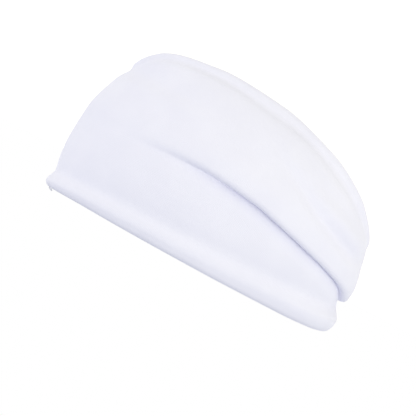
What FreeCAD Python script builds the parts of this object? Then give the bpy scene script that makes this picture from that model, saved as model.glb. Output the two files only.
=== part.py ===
"""Sports headband: a wide two-layer stretch-knit band, shaped as it sits on a head.

Frame: millimetres, +Z up, forehead towards -Y, nape towards +Y, the wearer's left towards +X.
The lower rim lies on Z = 0 and the origin is the middle of the footprint.
"""

import FreeCAD, Part
import math
import os
import Sketcher
from FreeCAD import Vector

START, END, CENTRE = 1, 2, 3  # the points of a sketch edge
ORIGIN, UPRIGHT_AXIS = (-1, 1), -2  # a sketch's origin as an edge's point, and its vertical axis
UP = Vector(0, 0, 1)
PLANES = {"plan": "XY_Plane", "side": "YZ_Plane", "front": "XZ_Plane"}
TRIM = 160  # a trimming outline reaches this far from the origin, past every solid

# Each station is one level of the dome that the band covers: its height above the lower rim, how far
# the outside stands in front of and behind the origin, half its breadth, and how much wider than its
# thickness a layer's cut is there, because the dome leans in.
STATIONS = {
    "foot": (4, 94.5, 93.5, 72, 1.0),
    "brow": (30, 97.5, 96.5, 77, 1.0),
    "temple": (55, 95.5, 93.5, 77, 1.0),
    "parietal": (78, 87.5, 85, 71.5, 1.1),
    "crown": (96, 77, 72, 62, 1.25),
    "shoulder": (108, 63, 55, 51, 1.4),
    "lid": (118, 45, 30, 38, 1.6),
}
MEASURES = ("level", "front", "rear", "breadth", "spread")

DRIVING = {
    # The plan of every level is an egg of four arcs; its end radii are shares of the half breadth.
    "front_round": 0.74,
    "rear_round": 0.86,
    # Layers, from the outside in: shell, gap, rim tape, gap, lining, gap, stitches.
    "shell_ply": 1.3,
    "gap": 0.3,
    "tape_ply": 0.7,
    "lining_ply": 1.0,
    "stitch_ply": 0.6,
    # The arch of the upper rim, seen from the side.
    "rim_crown_y": -24,
    "rim_crown_top": 112,
    "rim_crown_radius": 180,
    "rim_front_radius": 30,
    "rim_rear_radius": 40.5,
    "rim_front_turn": 10.2,
    "rim_rear_turn": 33.7,
    "rim_front_slope": 44,
    "rim_rear_slope": 50,
    # The rolled lower rim and the soft core inside it.
    "bead_radius": 5,
    "bead_level": 4.4,
    "bead_depth": 3,
    "core_radius": 3.3,
    "shell_foot": 7.9,
    "lining_foot": 9.8,
    # Elastic tape, stitching and seams.
    "tape_inset": 0.8,
    "tape_width": 3.8,
    "rim_stitch_inset": 5,
    "stitch_width": 1.6,
    "bead_stitch_level": 10.6,
    "seam_half_width": 3,
    "seam_clearance": 1.2,
    "seam_top_inset": 6,
    # The loose end of the lower rim's thread.
    "tail_radius": 0.45,
    "tail_length": 7,
    "tail_clearance": 1.2,
}

document = FreeCAD.newDocument("SportsHeadband")
sizes = document.addObject("Spreadsheet::Sheet", "Sizes")


def fill_sheet():
    """Writes every driving dimension to the sheet as plain text, with its name as the alias."""
    cells = dict(DRIVING)
    for station, values in STATIONS.items():
        for measure, value in zip(MEASURES, values):
            cells[f"{station}_{measure}"] = value
    for row, (name, value) in enumerate(cells.items(), start=1):
        sizes.set(f"A{row}", name)
        sizes.set(f"B{row}", str(value))
        sizes.setAlias(f"B{row}", name)
    document.recompute()


def in_sheet(expression):
    """The expression with every dimension's name pointing at the sheet."""
    words = expression.split(" ")
    known = set(DRIVING) | {f"{s}_{m}" for s in STATIONS for m in MEASURES}
    return " ".join(f"Sizes.{word}" if word in known else word for word in words)


def value_of(expression):
    """The number that an expression gives, for the geometry that a sketch starts from."""
    return float(sizes.evalExpression(in_sheet(expression)))


def new_sketch(body, name, plane):
    sketch = body.newObject("Sketcher::SketchObject", name)
    origin_plane = next(o for o in body.Origin.OriginFeatures if o.Role == PLANES[plane])
    sketch.AttachmentSupport = (origin_plane, [""])
    sketch.MapMode = "FlatFace"
    return sketch


def constrain(sketch, kind, *parts):
    sketch.addConstraint(Sketcher.Constraint(kind, *parts))


def dimension(sketch, name, kind, parts, expression):
    """Adds a driving length to a sketch and binds it to the sheet."""
    index = sketch.addConstraint(Sketcher.Constraint(kind, *parts, value_of(expression)))
    sketch.renameConstraint(index, name)
    sketch.setExpression(f"Constraints.{name}", f"({in_sheet(expression)}) * 1mm")


def arc(centre_x, centre_y, radius, start, end):
    """A counterclockwise arc in a sketch, with its angles in radians."""
    return Part.ArcOfCircle(Part.Circle(Vector(centre_x, centre_y, 0), UP, radius), start, end)


def side_arc(front_centre, rear_centre, front_radius, rear_radius, breadth):
    """Level and inset of the centre of the arc that joins an egg's two ends at a given half breadth."""
    front_slack, rear_slack = breadth - front_radius, breadth - rear_radius
    ratio = rear_slack / front_slack
    a = ratio - 1
    b = 2 * (rear_centre - ratio * front_centre)
    c = ratio * (front_centre**2 - front_slack**2) + rear_slack**2 - rear_centre**2
    level = (-b + math.sqrt(b * b - 4 * a * c)) / (2 * a)
    if not 2 * front_centre - rear_centre < level < 2 * rear_centre - front_centre:
        level = (-b - math.sqrt(b * b - 4 * a * c)) / (2 * a)
    return level, ((level - front_centre) ** 2 - front_slack**2) / (2 * front_slack)


def draw_egg(sketch, station, depth, name):
    """The closed plan of one station, moved in from the outside by a depth: four tangent arcs."""
    moved = f"( {depth} ) * {station}_spread"
    measures = {
        "front_radius": f"front_round * {station}_breadth - {moved}",
        "rear_radius": f"rear_round * {station}_breadth - {moved}",
        "half_breadth": f"{station}_breadth - {moved}",
        "front_centre": f"{station}_front - front_round * {station}_breadth",
        "rear_centre": f"{station}_rear - rear_round * {station}_breadth",
    }
    front_radius, rear_radius, breadth, front, rear = (value_of(text) for text in measures.values())
    level, inset = side_arc(-front, rear, front_radius, rear_radius, breadth)
    front_joint = math.atan2(-front - level, inset)
    rear_joint = math.atan2(rear - level, inset)
    side_radius = breadth + inset
    right, back, left, face = sketch.addGeometry(
        [
            arc(-inset, level, side_radius, front_joint, rear_joint),
            arc(0, rear, rear_radius, rear_joint, math.pi - rear_joint),
            arc(inset, level, side_radius, math.pi - rear_joint, math.pi - front_joint),
            arc(0, -front, front_radius, math.pi - front_joint, 2 * math.pi + front_joint),
        ]
    )
    side_line = Part.LineSegment(Vector(breadth, -front, 0), Vector(breadth, rear, 0))
    wall = sketch.addGeometry(side_line, True)
    for first, second in ((right, back), (back, left), (left, face), (face, right)):
        constrain(sketch, "Tangent", first, END, second, START)
    for end_arc in (back, face):
        constrain(sketch, "PointOnObject", end_arc, CENTRE, UPRIGHT_AXIS)
    constrain(sketch, "Equal", right, left)
    constrain(sketch, "Vertical", wall)
    constrain(sketch, "Tangent", wall, right)
    constrain(sketch, "Horizontal", wall, START, face, CENTRE)
    constrain(sketch, "Horizontal", wall, END, back, CENTRE)
    places = {
        "front_radius": ("Radius", (face,)),
        "rear_radius": ("Radius", (back,)),
        "half_breadth": ("DistanceX", (*ORIGIN, wall, START)),
        "front_centre": ("DistanceY", (face, CENTRE, *ORIGIN)),
        "rear_centre": ("DistanceY", (*ORIGIN, back, CENTRE)),
    }
    for measure, (kind, parts) in places.items():
        dimension(sketch, f"{name}_{measure}", kind, parts, measures[measure])


def layer(body, outer, inner):
    """The whole dome's wall between two depths, lofted through a pair of eggs at every station."""
    rings = []
    for station in STATIONS:
        ring = new_sketch(body, f"{station}_ring", "plan")
        draw_egg(ring, station, outer, "outer")
        draw_egg(ring, station, inner, "inner")
        ring.setExpression(".AttachmentOffset.Base.z", f"Sizes.{station}_level * 1mm")
        rings.append(ring)
    document.recompute()
    wall = body.newObject("PartDesign::AdditiveLoft", "dome_wall")
    wall.Profile, wall.Sections = rings[0], rings[1:]
    document.recompute()


def cut(body, sketch, name):
    """Cuts a sketch's outline right through the body, both ways from its plane."""
    before = body.Shape.Volume
    pocket = body.newObject("PartDesign::Pocket", name)
    pocket.Profile = sketch
    pocket.Type = "ThroughAll"
    pocket.Midplane = True
    sketch.Visibility = False
    document.recompute()
    if not 0 < body.Shape.Volume < before:
        raise RuntimeError(f"{name} of {body.Label} cut nothing, or everything")


def box_cut(body, name, plane, bounds):
    """Cuts away a rectangle: bounds are expressions for left, right, bottom and top."""
    left, right, bottom, top = (value_of(text) for text in bounds)
    sketch = new_sketch(body, name, plane)
    corners = [Vector(x, y, 0) for x, y in ((left, bottom), (right, bottom), (right, top), (left, top))]
    edges = sketch.addGeometry([Part.LineSegment(corners[i], corners[(i + 1) % 4]) for i in range(4)])
    for i in range(4):
        constrain(sketch, "Coincident", edges[i], END, edges[(i + 1) % 4], START)
        constrain(sketch, "Horizontal" if i % 2 == 0 else "Vertical", edges[i])
    for measure, kind, edge, text in (
        ("left", "DistanceX", edges[0], bounds[0]),
        ("right", "DistanceX", edges[1], bounds[1]),
        ("bottom", "DistanceY", edges[0], bounds[2]),
        ("top", "DistanceY", edges[2], bounds[3]),
    ):
        dimension(sketch, measure, kind, (*ORIGIN, edge, START), text)
    cut(body, sketch, f"{name}_cut")


def arch_cut(body, name, inset, keep_below=True):
    """Trims the body along the upper rim's arch, moved down into the fabric by an inset."""
    sketch = new_sketch(body, name, "side")
    crown_radius = f"rim_crown_radius - ( {inset} )"
    front_radius = f"rim_front_radius - ( {inset} )"
    rear_radius = f"rim_rear_radius - ( {inset} )"
    crown_level = "rim_crown_top - rim_crown_radius"
    front_joint = f"rim_crown_y - ( {crown_radius} ) * sin( rim_front_turn * 1deg )"
    rear_joint = f"rim_crown_y + ( {crown_radius} ) * sin( rim_rear_turn * 1deg )"
    front_end_place = (
        "rim_crown_y - ( rim_crown_radius - rim_front_radius ) * sin( rim_front_turn * 1deg )"
        f" - ( {front_radius} ) * sin( rim_front_slope * 1deg )"
    )
    rear_end_place = (
        "rim_crown_y + ( rim_crown_radius - rim_rear_radius ) * sin( rim_rear_turn * 1deg )"
        f" + ( {rear_radius} ) * sin( rim_rear_slope * 1deg )"
    )
    crown_y, level = value_of("rim_crown_y"), value_of(crown_level)
    radii = [value_of(text) for text in (crown_radius, front_radius, rear_radius)]
    turns = ("rim_front_turn", "rim_rear_turn", "rim_front_slope", "rim_rear_slope")
    front_turn, rear_turn, front_slope, rear_slope = (math.radians(value_of(text)) for text in turns)

    def fall(side, turn, slope, radius):
        """Centre of an end arc, the point where it reaches its end slope, and one far along it."""
        drop = radii[0] - radius
        centre = Vector(crown_y + side * drop * math.sin(turn), level + drop * math.cos(turn), 0)
        end = centre + Vector(side * math.sin(slope), math.cos(slope), 0) * radius
        return centre, end, Vector(side * TRIM, end.y - (TRIM - side * end.x) * math.tan(slope), 0)

    front_centre, front_end, front_far = fall(-1, front_turn, front_slope, radii[1])
    rear_centre, rear_end, rear_far = fall(1, rear_turn, rear_slope, radii[2])
    quarter = math.pi / 2
    reach = 3 * TRIM if keep_below else -3 * TRIM
    corners = [Vector(-TRIM, reach, 0), Vector(TRIM, reach, 0)]
    outline = [
        Part.LineSegment(front_far, front_end),
        arc(front_centre.x, front_centre.y, radii[1], quarter + front_turn, quarter + front_slope),
        arc(crown_y, level, radii[0], quarter - rear_turn, quarter + front_turn),
        arc(rear_centre.x, rear_centre.y, radii[2], quarter - rear_slope, quarter - rear_turn),
        Part.LineSegment(rear_end, rear_far),
        Part.LineSegment(rear_far, corners[1]),
        Part.LineSegment(corners[1], corners[0]),
        Part.LineSegment(corners[0], front_far),
    ]
    front_line, front_arc, crown_arc, rear_arc, rear_line, rear_side, lid, front_side = (
        sketch.addGeometry(outline)
    )
    constrain(sketch, "Tangent", front_line, END, front_arc, END)
    constrain(sketch, "Tangent", front_arc, START, crown_arc, END)
    constrain(sketch, "Tangent", crown_arc, START, rear_arc, END)
    constrain(sketch, "Tangent", rear_arc, START, rear_line, START)
    straight = (rear_line, rear_side, lid, front_side, front_line)
    for first, second in zip(straight, straight[1:]):
        constrain(sketch, "Coincident", first, END, second, START)
    constrain(sketch, "Vertical", rear_side)
    constrain(sketch, "Vertical", front_side)
    constrain(sketch, "Horizontal", lid)
    dimension(sketch, "crown_radius", "Radius", (crown_arc,), crown_radius)
    dimension(sketch, "front_radius", "Radius", (front_arc,), front_radius)
    dimension(sketch, "rear_radius", "Radius", (rear_arc,), rear_radius)
    dimension(sketch, "crown_place", "DistanceX", (*ORIGIN, crown_arc, CENTRE), "rim_crown_y")
    dimension(sketch, "crown_level", "DistanceY", (*ORIGIN, crown_arc, CENTRE), crown_level)
    dimension(sketch, "front_joint", "DistanceX", (*ORIGIN, front_arc, START), front_joint)
    dimension(sketch, "rear_joint", "DistanceX", (*ORIGIN, rear_arc, END), rear_joint)
    dimension(sketch, "front_end", "DistanceX", (*ORIGIN, front_arc, END), front_end_place)
    dimension(sketch, "rear_end", "DistanceX", (*ORIGIN, rear_arc, START), rear_end_place)
    dimension(sketch, "front_far", "DistanceX", (*ORIGIN, front_side, END), str(-TRIM))
    dimension(sketch, "rear_far", "DistanceX", (*ORIGIN, rear_side, START), str(TRIM))
    dimension(sketch, "lid", "DistanceY", (*ORIGIN, lid, START), str(reach))
    cut(body, sketch, f"{name}_cut")


def dome_band(label, outer, inner, foot, inset):
    """One layer of the band: the dome between two depths, from a level up to the rim less an inset."""
    body = document.addObject("PartDesign::Body", label)
    body.Label = label
    layer(body, outer, inner)
    arch_cut(body, "rim_arch", inset)
    box_cut(body, "foot_line", "side", (str(-TRIM), str(TRIM), "-10", foot))
    return body


def keep_seam_strip(body):
    """Leaves only the strip of a layer that runs up the nape, as wide as a seam."""
    box_cut(body, "face_side", "side", (str(-TRIM), "0", "-10", str(TRIM)))
    box_cut(body, "left_side", "front", ("seam_half_width", str(TRIM), "-10", str(TRIM)))
    box_cut(body, "right_side", "front", (str(-TRIM), "- seam_half_width", "-10", str(TRIM)))


def bead_path(body):
    """The line that the middle of the rolled lower rim follows."""
    path = new_sketch(body, "bead_path", "plan")
    draw_egg(path, "foot", "bead_depth", "bead")
    path.setExpression(".AttachmentOffset.Base.z", "Sizes.bead_level * 1mm")
    return path


def roll(body, name, radii):
    """Runs one circle, or two for a tube, all the way round the bead's path."""
    path = bead_path(body)
    section = new_sketch(body, f"{name}_section", "side")
    place = "bead_depth - foot_front"
    for index, radius in enumerate(radii):
        centre = Vector(value_of(place), value_of("bead_level"), 0)
        circle = section.addGeometry(Part.Circle(centre, UP, value_of(radius)))
        dimension(section, f"radius_{index}", "Radius", (circle,), radius)
        dimension(section, f"place_{index}", "DistanceX", (*ORIGIN, circle, CENTRE), place)
        dimension(section, f"level_{index}", "DistanceY", (*ORIGIN, circle, CENTRE), "bead_level")
    document.recompute()
    pipe = body.newObject("PartDesign::AdditivePipe", name)
    pipe.Profile = section
    pipe.Spine = (path, [f"Edge{edge}" for edge in range(1, 5)])
    document.recompute()


def make_outer_shell():
    """The outside layer: its lower edge is rolled round into a hollow bead with a flat land to rest on."""
    shell = dome_band("outer_shell", "0", "shell_ply", "shell_foot", "0")
    roll(shell, "rolled_edge", ("bead_radius", "bead_radius - shell_ply"))
    box_cut(shell, "rest_land", "side", (str(-TRIM), str(TRIM), "-10", "0"))
    return shell


def make_lower_core():
    """The soft elastic cord that fills the rolled lower rim."""
    core = document.addObject("PartDesign::Body", "lower_elastic_core")
    core.Label = "lower_elastic_core"
    roll(core, "core", ("core_radius",))
    return core


def make_thread_tail():
    """The loose end of the lower rim's thread, tucked under the bead at the forehead."""
    tail = document.addObject("Part::Cone", "thread_tail")
    tail.Label = "thread_tail"
    tail.setExpression("Radius1", "Sizes.tail_radius * 1mm")
    tail.setExpression("Radius2", "Sizes.tail_radius * 0.5 * 1mm")
    tail.setExpression("Height", "Sizes.tail_length * 1mm")
    tail.Placement.Rotation = FreeCAD.Rotation(Vector(0, 1, 0), 90)
    tail.setExpression(".Placement.Base.x", "-Sizes.tail_length / 2 * 1mm")
    tail.setExpression(".Placement.Base.y", "-(Sizes.foot_front + Sizes.tail_clearance) * 1mm")
    tail.setExpression(".Placement.Base.z", "Sizes.tail_radius * 1.1 * 1mm")
    return tail


def upper_strip(label, outer, inner, inset, width):
    """A narrow strip that follows the upper rim all round, below it by an inset."""
    strip = dome_band(label, outer, inner, "lining_foot", inset)
    arch_cut(strip, "lower_edge", f"{inset} + {width}", keep_below=False)
    return strip


def lower_strip(label, outer, inner):
    """A narrow level strip just above the bead, all round."""
    strip = dome_band(label, outer, inner, "bead_stitch_level", "0")
    top = "bead_stitch_level + stitch_width"
    box_cut(strip, "upper_edge", "side", (str(-TRIM), str(TRIM), top, str(TRIM)))
    return strip


def make_parts():
    """Every piece, from the outside in."""
    tape = "shell_ply + gap"
    tape_inside = f"{tape} + tape_ply"
    lining = f"{tape_inside} + gap"
    lining_inside = f"{lining} + lining_ply"
    stitch = f"{lining_inside} + gap"
    stitch_inside = f"{stitch} + stitch_ply"
    seam_foot = "bead_stitch_level + stitch_width + seam_clearance"
    seam_inset = "rim_stitch_inset + stitch_width + seam_clearance"
    shell_seam = dome_band("shell_seam_thread", tape, tape_inside, "lining_foot", "seam_top_inset")
    lining_seam = dome_band("lining_seam_thread", stitch, stitch_inside, seam_foot, seam_inset)
    for seam in (shell_seam, lining_seam):
        keep_seam_strip(seam)
    return [
        make_outer_shell(),
        dome_band("inner_lining", lining, lining_inside, "lining_foot", "tape_inset"),
        upper_strip("upper_elastic_tape", tape, tape_inside, "tape_inset", "tape_width"),
        make_lower_core(),
        upper_strip("upper_rim_thread", stitch, stitch_inside, "rim_stitch_inset", "stitch_width"),
        lower_strip("lower_rim_thread", stitch, stitch_inside),
        shell_seam,
        lining_seam,
        make_thread_tail(),
    ]


def check(parts):
    """Stops unless every object recomputed and every piece is one sound solid."""
    failed = [o.Label for o in document.Objects if {"Invalid", "Error"} & set(o.State)]
    if failed:
        raise RuntimeError(f"not recomputed: {failed}")
    for piece in parts:
        shape = piece.Shape
        if shape.isNull() or not shape.isValid() or len(shape.Solids) != 1:
            raise RuntimeError(f"{piece.Label} isn't one sound solid")


def main():
    fill_sheet()
    parts = make_parts()
    document.recompute()
    check(parts)
    os.makedirs("parts", exist_ok=True)
    for piece in parts:
        piece.Shape.exportStep(f"parts/{piece.Label}.step")
        print(piece.Label, round(piece.Shape.Volume), "mm3")


main()
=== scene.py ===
"""Sports headband: the worn shape of a wide white stretch-knit band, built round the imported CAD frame.

Metres, +Z up, forehead towards -Y, nape towards +Y, the wearer's left towards +X.
"""

import math

import bpy
import numpy as np
from mathutils import Matrix, Vector


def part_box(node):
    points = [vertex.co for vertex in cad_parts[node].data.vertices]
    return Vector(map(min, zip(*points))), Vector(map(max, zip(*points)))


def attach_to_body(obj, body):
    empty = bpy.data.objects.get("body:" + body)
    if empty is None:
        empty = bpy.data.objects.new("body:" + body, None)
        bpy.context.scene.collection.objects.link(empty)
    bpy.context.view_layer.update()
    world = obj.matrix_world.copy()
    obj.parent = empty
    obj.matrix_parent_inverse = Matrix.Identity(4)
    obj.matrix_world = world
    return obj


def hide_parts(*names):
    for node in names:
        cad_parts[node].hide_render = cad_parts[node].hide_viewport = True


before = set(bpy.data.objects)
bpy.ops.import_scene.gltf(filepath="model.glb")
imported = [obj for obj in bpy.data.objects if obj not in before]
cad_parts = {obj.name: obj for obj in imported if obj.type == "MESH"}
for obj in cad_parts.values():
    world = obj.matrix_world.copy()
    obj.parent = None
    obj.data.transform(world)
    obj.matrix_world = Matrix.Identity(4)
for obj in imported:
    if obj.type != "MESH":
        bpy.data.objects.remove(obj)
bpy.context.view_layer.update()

MM = 0.001
shell_low, shell_high = (np.array(corner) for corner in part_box("outer_shell"))
HALF_LENGTH = (shell_high[1] - shell_low[1]) / 2
HALF_BREADTH = (shell_high[0] - shell_low[0]) / 2
HEIGHT = shell_high[2] - shell_low[2]
MIDDLE = (shell_high[1] + shell_low[1]) / 2  # along Y; the shell is centred on X = 0

COLUMNS = 480  # round the band
TURNS = np.linspace(-math.pi / 2, 1.5 * math.pi, COLUMNS, endpoint=False)  # from the forehead
FAR_SIDE = np.cos(TURNS) < 0  # at -X
rng = np.random.default_rng(7)


def curve(*points):
    """A smooth line through (place, value) points that never overshoots them."""
    x, y = (np.array(values, float) for values in zip(*points))
    run = np.diff(x)
    slope = np.diff(y) / run
    same = slope[:-1] * slope[1:] > 0
    total = np.where(same, slope[:-1] + slope[1:], 1)
    inner = np.where(same, 2 * slope[:-1] * slope[1:] / total, 0)
    tangent = np.concatenate([[slope[0]], inner, [slope[-1]]])

    def at(where):
        where = np.clip(where, x[0], x[-1])
        i = np.clip(np.searchsorted(x, where, side="right") - 1, 0, len(run) - 1)
        t = (where - x[i]) / run[i]
        return (
            (2 * t**3 - 3 * t**2 + 1) * y[i]
            + (t**3 - 2 * t**2 + t) * run[i] * tangent[i]
            + (3 * t**2 - 2 * t**3) * y[i + 1]
            + (t**3 - t**2) * run[i] * tangent[i + 1]
        )

    return at


def ease(value):
    """0 below 0, 1 above 1, and smooth between."""
    value = np.clip(value, 0, 1)
    return value * value * (3 - 2 * value)


def bell(value):
    """1 at 0, falling smoothly to nothing on both sides."""
    return np.exp(-(value**2))


# ---------------------------------------------------------------- the dome that the band covers

# Shares of the frame's height, half length and half breadth: level, front, rear, half breadth.
STATIONS = (
    (0.036, 0.968, 0.962, 0.930),
    (0.150, 0.972, 0.966, 0.975),
    (0.300, 0.986, 0.993, 1.000),
    (0.490, 0.976, 0.979, 0.992),
    (0.696, 0.898, 0.882, 0.925),
    (0.786, 0.838, 0.805, 0.865),
    (0.857, 0.830, 0.730, 0.800),
    (0.911, 0.812, 0.645, 0.735),
    (0.964, 0.775, 0.550, 0.655),
    (1.050, 0.600, 0.330, 0.500),
)
levels, fronts, rears, breadths = zip(*STATIONS)
front_at, rear_at, breadth_at = (curve(*zip(levels, shares)) for shares in (fronts, rears, breadths))
SKEW, SQUARE = 0.045, 0.05  # how much wider the rear half is, and how much fuller the two ends are


def dome(turn, level):
    """A point of the dome at a turn and a height, as arrays of x, y and z."""
    share = np.maximum(level / HEIGHT, levels[0])
    front, rear = front_at(share) * HALF_LENGTH, rear_at(share) * HALF_LENGTH
    c, s = np.cos(turn), np.sin(turn)
    x = breadth_at(share) * HALF_BREADTH * c * (1 + SKEW * s + SQUARE * s * s)
    y = MIDDLE + (rear - front) / 2 + (rear + front) / 2 * s
    return np.stack([x, y, level + 0 * x], axis=-1)


def unit(vectors):
    return vectors / np.linalg.norm(vectors, axis=-1, keepdims=True)


def dome_normal(turn, level):
    """The way out of the dome: level near the foot, and square to the surface higher up."""
    step = 1e-4  # radians round and metres up
    along = dome(turn + step, level) - dome(turn - step, level)
    up = dome(turn, level + step) - dome(turn, level - step)
    normal = unit(np.cross(along, up))
    flat = unit(normal * [1, 1, 0])
    share = ease((level - 6 * MM) / (22 * MM))[..., None]
    return unit(flat * (1 - share) + normal * share)


LEVEL_STEPS = np.linspace(0, 1.05 * HEIGHT, 400)
climb = dome(TURNS[:, None], LEVEL_STEPS[None, :])
CLIMBED = np.concatenate(
    [np.zeros((COLUMNS, 1)), np.cumsum(np.linalg.norm(np.diff(climb, axis=1), axis=2), axis=1)], axis=1
)


def climb_to(level):
    """Length up each column from the foot to its own level."""
    return np.array([np.interp(z, LEVEL_STEPS, run) for z, run in zip(level, CLIMBED)])


def place(climbs, offsets):
    """Points of a piece: for each column, rows of (length up the dome, distance out from it)."""
    top = CLIMBED[:, -1:]
    level = np.array([np.interp(c, run, LEVEL_STEPS) for c, run in zip(climbs, CLIMBED)])
    level = level + np.minimum(climbs, 0) + np.maximum(climbs - top, 0)
    turn = np.broadcast_to(TURNS[:, None], level.shape)
    points = dome(turn, np.maximum(level, 0))
    points[..., 2] = level
    return points + dome_normal(turn, np.maximum(level, 0)) * offsets[..., None]


# ---------------------------------------------------------------- lines that the fabric follows

# Each column's place along the band: -1 at the forehead, 1 at the nape.
mid_y = (dome(TURNS, 0.4 * HEIGHT + 0 * TURNS)[:, 1] - MIDDLE) / HALF_LENGTH

# The upper rim's height against the turn from the forehead, where 180 degrees is the nape.
rim_at = curve((-7, 0.825), (0, 0.812), (7, 0.825), (15, 0.858), (22, 0.893), (32, 0.938), (45, 0.968),
               (60, 0.985), (76, 0.998), (110, 0.974), (137, 0.88), (156, 0.758), (168, 0.65), (180, 0.57),
               (192, 0.65))
from_forehead = np.degrees(np.arccos(np.clip(-np.sin(TURNS), -1, 1)))
RIM = climb_to(rim_at(from_forehead) * HEIGHT)

# How wide the rim's roll is, and the groove that runs under it outside, as shares of the section below.
RIM_WIDE = curve((0, 0.9), (50, 1.0), (80, 1.2), (110, 1.6), (145, 1.7), (180, 1.15))(from_forehead)
RIM_GROOVE = RIM_WIDE * curve((0, 1.0), (50, 1.05), (100, 1.35), (145, 1.4), (180, 1.1))(from_forehead)

# The deep pleat and the soft valley over it: height, depth and undercut against the place along the band.
pleat_at = curve((-1, 0.43), (-0.75, 0.446), (-0.53, 0.46), (-0.33, 0.47), (-0.17, 0.472), (0.2, 0.446),
                 (0.42, 0.404), (0.61, 0.36), (0.86, 0.29), (0.93, 0.258), (0.97, 0.222), (1, 0.189))
pleat_depth = curve((-1, 0), (-0.72, 0), (-0.4, 0.28), (-0.1, 0.84), (0.1, 1.12), (0.3, 1.14), (0.6, 0.98),
                    (0.76, 0.82), (0.95, 0.82), (1, 0.6))
pleat_tuck = curve((-1, 1.5), (-0.3, 1.6), (0.3, 2.4), (0.8, 3.2), (1, 2.4))
valley_at = curve((0.2, 0.76), (0.4, 0.65), (0.6, 0.545), (0.78, 0.48), (0.91, 0.434), (1, 0.425))
valley_depth = curve((0.2, 0), (0.45, 0.3), (0.7, 0.9), (0.86, 0.9), (0.95, 0.35), (1, 0))

# The far side's pleat lies a little higher and starts a little earlier than the near one's.
far_shift = FAR_SIDE * ease(np.abs(np.cos(TURNS)) / 0.5)
PLEAT = climb_to((pleat_at(mid_y) + 0.02 * far_shift) * HEIGHT)
PLEAT_DEPTH = pleat_depth(mid_y + 0.06 * far_shift)
PLEAT_TUCK = pleat_tuck(mid_y) * MM
VALLEY = climb_to((valley_at(mid_y) - 0.015 * far_shift) * HEIGHT)
VALLEY_DEPTH = valley_depth(mid_y)

# The rolled lower rim, in millimetres: half its height, half its width, how far it stands out, how far it
# is lifted off the table, and how far above its widest line the fabric is smooth again.
bead_tall = curve((-1, 3.9), (-0.6, 5.2), (0.2, 5.8), (0.7, 7.4), (1, 8.6))
bead_wide = curve((-1, 4.2), (0.2, 4.6), (1, 5.0))
bead_proud = curve((-1, 1.9), (-0.5, 2.3), (0.4, 2.6), (1, 4.3))
bead_lift = curve((-1, 1.9), (-0.8, 1.8), (-0.45, 1.0), (-0.1, 0.4), (0.3, 0.0), (0.7, 0.0), (0.9, 0.7),
                  (1, 2.2))
bead_blend = curve((-1, 6.8), (-0.3, 9.5), (0.4, 11), (0.8, 10), (1, 9.5))
BEAD_TALL, BEAD_WIDE, BEAD_PROUD, BEAD_LIFT, BEAD_BLEND = (
    share(mid_y) * MM for share in (bead_tall, bead_wide, bead_proud, bead_lift, bead_blend)
)
BEAD_LEVEL = BEAD_TALL + BEAD_LIFT
BEAD_OUT = BEAD_PROUD - BEAD_WIDE
NECK = curve((-1, 0.9), (-0.4, 0.9), (0.5, 0.6), (1, 0.3))(mid_y) * MM  # the dip just above it
HEM_TOP = BEAD_LEVEL + 7.8 * MM  # the lower hem's turned-up edge, inside
HEM_IN = 3.5 * MM  # how far inside the dome that edge lies
LINING_FOOT = HEM_TOP - 2.6 * MM
SEAM = np.where(np.arange(COLUMNS) == COLUMNS // 2, 0.35, 0) * MM  # the groove of the seam at the nape

ROUND = 6.28  # one turn of a wave, near enough
WAVES = [  # times round the band, length up it in mm, phase, height in mm
    (rng.integers(2, 8), rng.uniform(40, 110), rng.uniform(0, ROUND), rng.uniform(0.03, 0.12))
    for _ in range(9)
]


def waviness(climbs):
    """Slow unevenness of fabric that isn't stretched quite tight."""
    total = 0 * climbs
    for turns, pitch, phase, tall in WAVES:
        total += tall * MM * np.sin(turns * TURNS[:, None] + ROUND * climbs / (pitch * MM) + phase)
    return total


def soft_offset(climbs):
    """How far the smooth fabric stands out from the dome, without the pleat."""
    from_valley = (climbs - VALLEY[:, None]) / MM
    valley = VALLEY_DEPTH[:, None] * (-2.7 * bell(from_valley / 5) + 1.5 * bell((from_valley - 9.5) / 6))
    return valley * MM + waviness(climbs)


def spaced(*stops):
    """Rows between successive stops: each stop after the first comes with a number of rows."""
    rows = [stops[0][:, None]]
    for start, (stop, count) in zip((stops[0], *(stop for stop, _ in stops[1:])), stops[1:]):
        rows.append(start[:, None] + (stop - start)[:, None] * np.linspace(0, 1, count + 1)[None, 1:])
    return np.concatenate(rows, axis=1)


def body_rows():
    """The shell from the bead's widest line to under the rim's roll: rows of length up and distance out."""
    reach = np.minimum(8 * MM, 0.45 * (PLEAT - BEAD_LEVEL))
    climbs = spaced(BEAD_LEVEL, (PLEAT - reach, 34), (PLEAT + reach, 44), (PLEAT + 16 * MM, 12),
                    (RIM - 11.3 * MM * RIM_GROOVE, 40))
    rise = ease((climbs - BEAD_LEVEL[:, None]) / BEAD_BLEND[:, None])
    past = (climbs - PLEAT[:, None]) / MM
    depth = PLEAT_DEPTH[:, None] * rise
    tuck = past / 3 * np.exp(0.5 - past**2 / 18)
    # A groove 3 mm deep just under the pleat's line, and a ridge 5 mm over it that fades out upwards.
    valley = -3.0 * bell((past + 1.2) / np.where(past < -1.2, 4.6, 3.0))
    fold = valley + 3.7 * bell((past - 5) / np.where(past < 5, 4, 17))
    neck = NECK[:, None] * bell((climbs - (BEAD_LEVEL + BEAD_BLEND)[:, None]) / (5 * MM))
    offsets = rise * soft_offset(climbs) + depth * fold * MM + (1 - rise) * BEAD_PROUD[:, None] - neck
    return climbs - PLEAT_TUCK[:, None] * depth * tuck, offsets - SEAM[:, None] * rise


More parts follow.
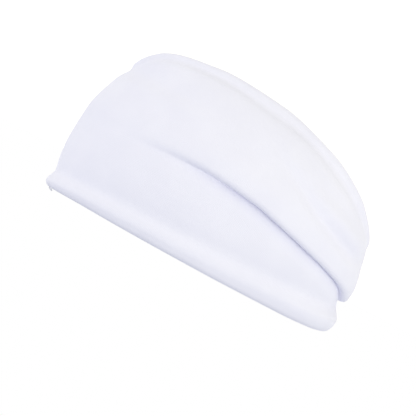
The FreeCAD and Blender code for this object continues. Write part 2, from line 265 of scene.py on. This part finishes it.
def bead_rows():
    """The lower rim: down its turned-up inner hem, under the roll and out to its widest line."""
    share = np.linspace(0, 1, 15)[None, :-1]
    hem_climbs = HEM_TOP[:, None] + (BEAD_LEVEL - HEM_TOP)[:, None] * share
    inside = (BEAD_OUT - BEAD_WIDE)[:, None]
    hem_offsets = -HEM_IN + (inside + HEM_IN) * ease(share)
    angle = np.radians(np.linspace(180, 360, 26))[None, :-1]
    climbs = BEAD_LEVEL[:, None] + BEAD_TALL[:, None] * np.sin(angle)
    offsets = BEAD_OUT[:, None] + BEAD_WIDE[:, None] * np.cos(angle)
    return np.concatenate([hem_climbs, climbs], axis=1), np.concatenate([hem_offsets, offsets], axis=1)


# The upper rim's roll in section, in millimetres: up from the rim, and out from the dome.
RIM_ROLL = (
    (-10.4, 0), (-9.2, -0.15), (-8.0, -0.5), (-6.9, -0.9), (-5.9, -1.1), (-4.9, -0.95), (-4.0, -0.5),
    (-3.1, 0), (-2.3, 0.32), (-1.6, 0.38), (-0.9, 0.15), (-0.3, -0.4), (0, -1.2), (0, -2.0),
    (-0.5, -2.7), (-1.5, -3.15), (-3, -3.3), (-4.9, -3.3), (-6.8, -3.3),
)
ROLL_ROWS = 44
roll_steps = np.linspace(0, len(RIM_ROLL) - 1, ROLL_ROWS)
ROLL_UP, ROLL_IN = (curve(*enumerate(values))(roll_steps)[None, :] * MM for values in zip(*RIM_ROLL))
ROLL_OUT = 0.6 + 0.4 * RIM_WIDE  # how thick the roll is
# How clearly the groove under the roll shows: faint at the forehead, full along the side.
ROLL_SOFT = curve((0, 0.3), (20, 0.35), (45, 0.75), (80, 1), (150, 1), (180, 0.6))(from_forehead)


def rim_rows():
    """The roll of the upper rim, over the edge and a little way down inside."""
    outside = 1 - ease((roll_steps - 8) / 4)[None, :]  # 1 up to the bulge, 0 from the edge on
    spread = RIM_WIDE[:, None] * (1 - outside) + RIM_GROOVE[:, None] * outside
    depth = ROLL_OUT[:, None] * (1 - outside * (1 - ROLL_SOFT[:, None]))
    climbs = RIM[:, None] + ROLL_UP * spread
    return climbs, soft_offset(climbs) + ROLL_IN * depth


def lining_rows():
    """The lining runs inside the shell from the lower hem to just under the upper edge."""
    climbs = spaced(LINING_FOOT, (PLEAT, 40), (RIM - 1.6 * MM * RIM_WIDE, 60))
    rise = ease((climbs - LINING_FOOT[:, None]) / (6 * MM))
    past, from_valley = (climbs - PLEAT[:, None]) / MM, (climbs - VALLEY[:, None]) / MM
    fold = 3.0 * PLEAT_DEPTH[:, None] * bell((past + 0.5) / 7) * rise
    valley = 2.3 * VALLEY_DEPTH[:, None] * bell(from_valley / 7.5) * rise
    return climbs, waviness(climbs) - (1.75 + np.maximum(fold, valley)) * MM


def tape_rows():
    """The elastic tape inside the upper hem."""
    climbs = spaced(RIM - 4.6 * MM * RIM_WIDE, (RIM - 1.2 * MM * RIM_WIDE, 8))
    return climbs, waviness(climbs) - 1.2 * MM * ROLL_OUT[:, None]


# ---------------------------------------------------------------- meshes

def grid_piece(name, rows, thickness, material):
    """A piece of fabric: a grid of columns round the band by rows up it, with a UV map in metres."""
    points = place(*rows)
    columns, count = points.shape[:2]
    mesh = bpy.data.meshes.new(name)
    faces = []
    for i in range(columns):
        a, b = i * count, (i + 1) % columns * count
        faces += [(a + j, b + j, b + j + 1, a + j + 1) for j in range(count - 1)]
    mesh.from_pydata(points.reshape(-1, 3).tolist(), [], faces)
    lengths = np.linalg.norm(np.diff(points, axis=1), axis=2)
    up = np.concatenate([[0], np.cumsum(lengths.mean(axis=0))])
    round_length = np.linalg.norm(np.diff(points[:, count // 3], axis=0), axis=1).mean()
    layer = mesh.uv_layers.new(name="cloth")
    uv = []
    for i in range(columns):
        left, right = i * round_length, (i + 1) * round_length
        for j in range(count - 1):
            uv += [left, up[j], right, up[j], right, up[j + 1], left, up[j + 1]]
    layer.data.foreach_set("uv", uv)
    mesh.shade_smooth()
    piece = bpy.data.objects.new(name, mesh)
    bpy.context.collection.objects.link(piece)
    mesh.materials.append(material)
    solid = piece.modifiers.new("cloth_thickness", "SOLIDIFY")
    solid.thickness = thickness
    solid.offset = -1
    return piece


def along(points, normals, step, reach, depth, closed=False):
    """A zigzag line on a surface: points and normals of its middle line, at a depth under the surface."""
    lengths = np.concatenate([[0], np.cumsum(np.linalg.norm(np.diff(points, axis=0), axis=1))])
    count = max(4, int(lengths[-1] / step)) // 2 * 2  # even, so that a closed zigzag meets itself
    marks = np.linspace(0, lengths[-1], count, endpoint=not closed)
    centre, normal = (
        np.stack([np.interp(marks, lengths, values[:, k]) for k in range(3)], axis=1)
        for values in (points, normals)
    )
    sideways = unit(np.cross(np.gradient(centre, axis=0), normal))
    swing = reach * np.where(np.arange(count) % 2, 1, -1)
    return centre - unit(normal) * depth + sideways * swing[:, None]


def tube_piece(name, path, radii, material, closed=False, sides=6):
    """A round thread or cord along a line of points, with a UV map in metres."""
    count = len(path)
    ahead = np.roll(path, -1, 0) - np.roll(path, 1, 0) if closed else np.gradient(path, axis=0)
    ahead = unit(ahead)
    centre = path.mean(axis=0)
    side = unit(np.cross(ahead, path - centre + [0, 0, 1e-3]))
    out = np.cross(side, ahead)
    angle = np.linspace(0, 2 * math.pi, sides, endpoint=False)[None, :, None]
    radii = np.broadcast_to(radii, (count,))[:, None, None]
    rings = path[:, None] + radii * (np.cos(angle) * out[:, None] + np.sin(angle) * side[:, None])
    faces, uv = [], []
    length = np.concatenate([[0], np.cumsum(np.linalg.norm(np.diff(path, axis=0), axis=1))])
    length = np.append(length, length[-1] + np.linalg.norm(path[0] - path[-1]))
    width = 2 * math.pi * radii.max() / sides
    for i in range(count if closed else count - 1):
        a, b = i * sides, (i + 1) % count * sides
        for j in range(sides):
            k = (j + 1) % sides
            faces.append((a + j, a + k, b + k, b + j))
            low, high = j * width, (j + 1) * width
            uv += [length[i], low, length[i], high, length[i + 1], high, length[i + 1], low]
    if not closed:
        faces += [tuple(reversed(range(sides))), tuple(range((count - 1) * sides, count * sides))]
        uv += [0, 0] * (2 * sides)
    mesh = bpy.data.meshes.new(name)
    mesh.from_pydata(rings.reshape(-1, 3).tolist(), [], faces)
    mesh.uv_layers.new(name="cloth").data.foreach_set("uv", uv)
    mesh.shade_smooth()
    mesh.materials.append(material)
    piece = bpy.data.objects.new(name, mesh)
    bpy.context.collection.objects.link(piece)
    return piece


def attach(piece, node):
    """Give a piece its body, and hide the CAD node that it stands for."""
    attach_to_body(piece, "root")
    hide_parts(node)
    return piece


# ---------------------------------------------------------------- materials

class Nodes:
    """A short way to write the nodes of a material or of the world."""

    def __init__(self, owner):
        owner.use_nodes = True
        self.tree = owner.node_tree

    def add(self, kind, inputs=(), **settings):
        node = self.tree.nodes.new(kind)
        for key, value in settings.items():
            setattr(node, key, value)
        for key, value in dict(inputs).items():
            if isinstance(value, bpy.types.NodeSocket):
                self.tree.links.new(value, node.inputs[key])
            else:
                node.inputs[key].default_value = value
        return node

    def math(self, operation, a, b=0.0):
        return self.add("ShaderNodeMath", {0: a, 1: b}, operation=operation).outputs[0]

    def finish(self, kind, inputs):
        """Link or set the inputs of the shader that is already there."""
        for name, value in inputs.items():
            socket = self.tree.nodes[kind].inputs[name]
            if isinstance(value, bpy.types.NodeSocket):
                self.tree.links.new(value, socket)
            else:
                socket.default_value = value


def knit(name, colour, shade, wale, course, relief, roughness, sheen):
    """Fine weft knit: columns of V-shaped stitches, a little fuzz, slow colour variation and painted shade
    in the stitches' grooves.
    """
    material = bpy.data.materials.new(name)
    nodes = Nodes(material)
    uv = nodes.add("ShaderNodeUVMap", uv_map="cloth").outputs[0]
    parts = nodes.add("ShaderNodeSeparateXYZ", {0: uv}).outputs
    across = nodes.math("MULTIPLY", parts[0], 1 / wale)
    up = nodes.math("MULTIPLY", parts[1], 1 / course)
    edge = nodes.math("ABSOLUTE", nodes.math("SUBTRACT", nodes.math("FRACT", across), 0.5))
    groove = nodes.math("MULTIPLY", nodes.math("POWER", nodes.math("MULTIPLY", edge, 2.0), 3.0), -0.7)
    slant = nodes.math("ADD", up, nodes.math("MULTIPLY", edge, 1.3))
    loop = nodes.math("SINE", nodes.math("MULTIPLY", slant, 2 * math.pi))
    stitches = nodes.math("ADD", groove, nodes.math("MULTIPLY", loop, 0.3))
    where = nodes.add("ShaderNodeTexCoord").outputs["Object"]
    fuzz = nodes.add("ShaderNodeTexNoise", {"Vector": where, "Scale": 1500.0, "Detail": 3.0})
    slow = nodes.add("ShaderNodeTexNoise", {"Vector": where, "Scale": 45.0, "Detail": 3.0})
    height = nodes.math("ADD", stitches, nodes.math("MULTIPLY", fuzz.outputs[0], 0.9))
    bump = nodes.add("ShaderNodeBump", {"Height": height, "Strength": relief, "Distance": 0.00025})
    # The base colour is painted darker and bluer in the stitches' grooves and loop hollows (painted shade),
    # and also varies slowly at random.
    groove_shade_and_tone = nodes.math("MULTIPLY", nodes.math("ADD", stitches, slow.outputs[0]), 0.25)
    ramp = nodes.add("ShaderNodeValToRGB", {0: groove_shade_and_tone})
    ramp.color_ramp.elements[0].color = (*shade, 1)
    ramp.color_ramp.elements[1].color = (*colour, 1)
    ramp.color_ramp.elements[1].position = 0.2
    nodes.finish("Principled BSDF", {
        "Base Color": ramp.outputs[0], "Normal": bump.outputs[0], "Roughness": roughness,
        "Specular IOR Level": 0.25, "Sheen Weight": sheen, "Sheen Roughness": 0.5,
    })
    return material


def braid(name, colour, pitch, slant, relief, crossed):
    """Strands that cross over each other, for elastic, or lie side by side, for twisted thread, with
    painted shade in the hollows between them.
    """
    material = bpy.data.materials.new(name)
    nodes = Nodes(material)
    uv = nodes.add("ShaderNodeUVMap", uv_map="cloth").outputs[0]
    parts = nodes.add("ShaderNodeSeparateXYZ", {0: uv}).outputs
    strands = []
    for turn in (slant, -slant) if crossed else (slant,):
        line = nodes.math("ADD", parts[0], nodes.math("MULTIPLY", parts[1], turn))
        wave = nodes.math("SINE", nodes.math("MULTIPLY", line, math.pi / pitch))
        strands.append(nodes.math("ABSOLUTE", wave))
    height = nodes.math("MULTIPLY", *strands) if crossed else strands[0]
    bump = nodes.add("ShaderNodeBump", {"Height": height, "Strength": relief, "Distance": 0.0002})
    # The colour is painted 14% darker in the hollows between strands: painted shade.
    ramp = nodes.add("ShaderNodeValToRGB", {0: height})
    ramp.color_ramp.elements[0].color = (*(0.86 * value for value in colour), 1)
    ramp.color_ramp.elements[1].color = (*colour, 1)
    nodes.finish("Principled BSDF", {
        "Base Color": ramp.outputs[0], "Normal": bump.outputs[0], "Roughness": 0.75,
        "Specular IOR Level": 0.3,
    })
    return material


# The second colour of each knit is the painted shade in its stitch grooves.
shell_knit = knit("shell_knit", (0.835, 0.84, 0.945), (0.78, 0.785, 0.905), 0.0009, 0.0007, 0.35, 0.9, 0.12)
lining_knit = knit("lining_knit", (0.835, 0.84, 0.935), (0.76, 0.765, 0.87), 0.0012, 0.0009, 0.5, 0.95, 0.1)
elastic_braid = braid("elastic", (0.88, 0.88, 0.88), 0.0011, 1.0, 0.6, crossed=True)
thread_twist = braid("thread", (0.86, 0.86, 0.92), 0.0005, 3.0, 0.2, crossed=False)


# ---------------------------------------------------------------- pieces

THREAD, CORD = 0.2 * MM, 3.2 * MM  # half their thickness
SHELL_THICK, LINING_THICK, TAPE_THICK = 0.8 * MM, 0.8 * MM, 0.4 * MM
STITCH_STEP, STITCH_REACH = 2.4 * MM, 0.8 * MM  # of the zigzags round the rims
SEAM_STEP, SEAM_REACH = 1.5 * MM, 1.3 * MM  # of the zigzags up the nape


def joined(*rows):
    """Pieces of rows one after another, as one."""
    return tuple(np.concatenate(part, axis=1) for part in zip(*rows))


def surface(rows):
    """Points of a piece's grid and its outward normals."""
    points = place(*rows)
    across = np.roll(points, -1, 0) - np.roll(points, 1, 0)
    return points, unit(np.cross(across, np.gradient(points, axis=1)))


def stitches(name, rows, node, row):
    """A zigzag of stitches that lies on a piece all the way round, along one of its rows."""
    points, normals = surface(rows)
    ring, out = (np.concatenate([v[:, row], v[:1, row]]) for v in (points, normals))
    path = along(ring, out, STITCH_STEP, STITCH_REACH, -THREAD, closed=True)
    return attach(tube_piece(name, path, THREAD, thread_twist, closed=True), node)


def seam(name, rows, node, start, stop, depth):
    """The zigzag of a seam's stitches up the nape, between two heights."""
    points, normals = surface(rows)
    line, out = points[COLUMNS // 2], normals[COLUMNS // 2]
    kept = (line[:, 2] > start) & (line[:, 2] < stop)
    path = along(line[kept], out[kept], SEAM_STEP, SEAM_REACH, depth)
    return attach(tube_piece(name, path, THREAD, thread_twist), node)


bead, body, rim = bead_rows(), body_rows(), rim_rows()
shell = grid_piece("outer_shell_knit", joined(bead, body, rim), SHELL_THICK, shell_knit)
attach(shell, "outer_shell")

lining = grid_piece("inner_lining_knit", lining_rows(), LINING_THICK, lining_knit)
attach(lining, "inner_lining")

tape = grid_piece("upper_elastic_band", tape_rows(), TAPE_THICK, elastic_braid)
attach(tape, "upper_elastic_tape")

core_line = place(BEAD_LEVEL[:, None], BEAD_OUT[:, None])[:, 0]
core = tube_piece("lower_elastic_cord", core_line, CORD, elastic_braid, closed=True, sides=24)
attach(core, "lower_elastic_core")

stitches("upper_rim_stitches", rim, "upper_rim_thread", -3)
stitches("lower_rim_stitches", bead, "lower_rim_thread", 3)
nape_top = 0.5 * HEIGHT
seam("shell_seam_stitches", body, "shell_seam_thread", 19 * MM, nape_top - 7 * MM, SHELL_THICK + 0.3 * MM)
seam("lining_seam_stitches", lining_rows(), "lining_seam_thread", 18 * MM, nape_top - 10 * MM,
     LINING_THICK + 0.25 * MM)

tail_low, tail_high = (np.array(corner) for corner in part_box("thread_tail"))
# Places along the tail: share of its box's width, then millimetres from the box's front and bottom.
TAIL = (
    (0, 4.2, 2.5), (0.18, 3.6, 1.8), (0.36, 4.4, 0.9), (0.55, 5.4, 0.5), (0.75, 5.9, 0.6), (1, 5.2, 1.2),
)
TAIL_POINTS = 24
TAIL_ROOT, TAIL_TIP = 0.45 * MM, 0.3 * MM  # half its thickness
tail_share = np.linspace(0, 1, TAIL_POINTS)
tail_x, tail_y, tail_z = (
    curve(*((i / 5, point[k]) for i, point in enumerate(TAIL)))(tail_share) for k in range(3)
)
tail_line = np.stack([
    tail_low[0] + (tail_high[0] - tail_low[0]) * tail_x,
    tail_low[1] + tail_y * MM,
    tail_low[2] + tail_z * MM,
], axis=1)
tail_radii = np.linspace(TAIL_ROOT, TAIL_TIP, TAIL_POINTS)
tail = tube_piece("loose_thread_tail", tail_line, tail_radii, thread_twist, sides=8)
attach(tail, "thread_tail")


# ---------------------------------------------------------------- studio

SKY, UNDER = 1.235, 1.18  # how bright the sky is at eye level, and how much is lost towards straight down
SKY_SLOPE = (0.02, -0.06, -0.43)  # how much brighter it gets towards +X, +Y and +Z
SKY_COLOUR, UNDER_COLOUR = (1.0, 0.99, 0.915, 1), (0.88, 0.91, 1.0, 1)


def floor():
    """A plain white floor that stays pure white in the picture, like a light table."""
    far = 6  # metres to its sides
    mesh = bpy.data.meshes.new("floor")
    mesh.from_pydata([(-far, -far, 0), (far, -far, 0), (far, far, 0), (-far, far, 0)], [], [(0, 1, 2, 3)])
    material = bpy.data.materials.new("floor_white")
    nodes = Nodes(material)
    glow = nodes.add("ShaderNodeEmission", {"Strength": 1.0})
    nodes.finish("Material Output", {"Surface": glow.outputs[0]})
    mesh.materials.append(material)
    plane = bpy.data.objects.new("floor", mesh)
    plane.visible_diffuse = False
    bpy.context.collection.objects.link(plane)


def sky():
    """A bright sky that is dimmer overhead and dimmer and bluer towards the ground."""
    world = bpy.data.worlds.new("sky")
    bpy.context.scene.world = world
    nodes = Nodes(world)
    direction = nodes.add("ShaderNodeTexCoord").outputs["Generated"]
    slope = nodes.add("ShaderNodeVectorMath", {0: direction, 1: SKY_SLOPE}, operation="DOT_PRODUCT")
    height = nodes.add("ShaderNodeSeparateXYZ", {0: direction}).outputs["Z"]
    below = nodes.math("MAXIMUM", nodes.math("MULTIPLY", height, -1.0), 0.0)
    level = nodes.math("SUBTRACT", SKY, nodes.math("MULTIPLY", below, UNDER))
    ramp = nodes.add("ShaderNodeValToRGB", {0: below})
    ramp.color_ramp.elements[0].color = SKY_COLOUR
    ramp.color_ramp.elements[1].color = UNDER_COLOUR
    ramp.color_ramp.elements[1].position = 0.6
    nodes.finish("Background", {
        "Color": ramp.outputs[0], "Strength": nodes.math("ADD", level, slope.outputs["Value"]),
    })
    bpy.context.scene.view_settings.view_transform = "Standard"


def soft_light(name, spot, aim, size, power, colour):
    """A round lamp, its size in metres and its power in watts."""
    light = bpy.data.lights.new(name, "AREA")
    light.shape = "DISK"
    light.size, light.energy, light.color = size, power, colour
    lamp = bpy.data.objects.new(name, light)
    lamp.location = spot
    lamp.rotation_euler = (Vector(aim) - Vector(spot)).to_track_quat("-Z", "Y").to_euler()
    bpy.context.collection.objects.link(lamp)


FIELD = 249.6 * MM  # what the picture's width spans at the object's middle
DISTANCE = 2.2
TILT = math.radians(27.9)  # how far the band's foot is turned from level in the picture
AIM = Vector((0, -0.0025, 0.0351))


def camera():
    """A long lens that looks at the side, level with the band's middle and rolled by the tilt."""
    lens = bpy.data.cameras.new("camera")
    lens.sensor_width = 36
    lens.lens = lens.sensor_width * DISTANCE / FIELD
    eye = bpy.data.objects.new("camera", lens)
    bpy.context.collection.objects.link(eye)
    back = Vector((1, 0, 0))
    right = Vector((0, math.cos(TILT), math.sin(TILT)))
    up = Vector((0, -math.sin(TILT), math.cos(TILT)))
    turn = Matrix((right, up, back)).transposed().to_4x4()
    eye.matrix_world = Matrix.Translation(AIM + back * DISTANCE) @ turn
    bpy.context.scene.camera = eye


floor()
sky()
soft_light("key", (0.95, 0.6, 0.035), (0, 0, 0.035), 0.5, 2.0, (1, 0.98, 0.86))
soft_light("fill", (0.35, -0.9, 0.25), (0, 0, 0.05), 0.6, 0.75, (0.84, 0.82, 1))
soft_light("back", (0.45, 1.0, 0.16), (0, 0.05, 0.02), 0.4, 1.0, (1, 0.98, 0.88))
camera()
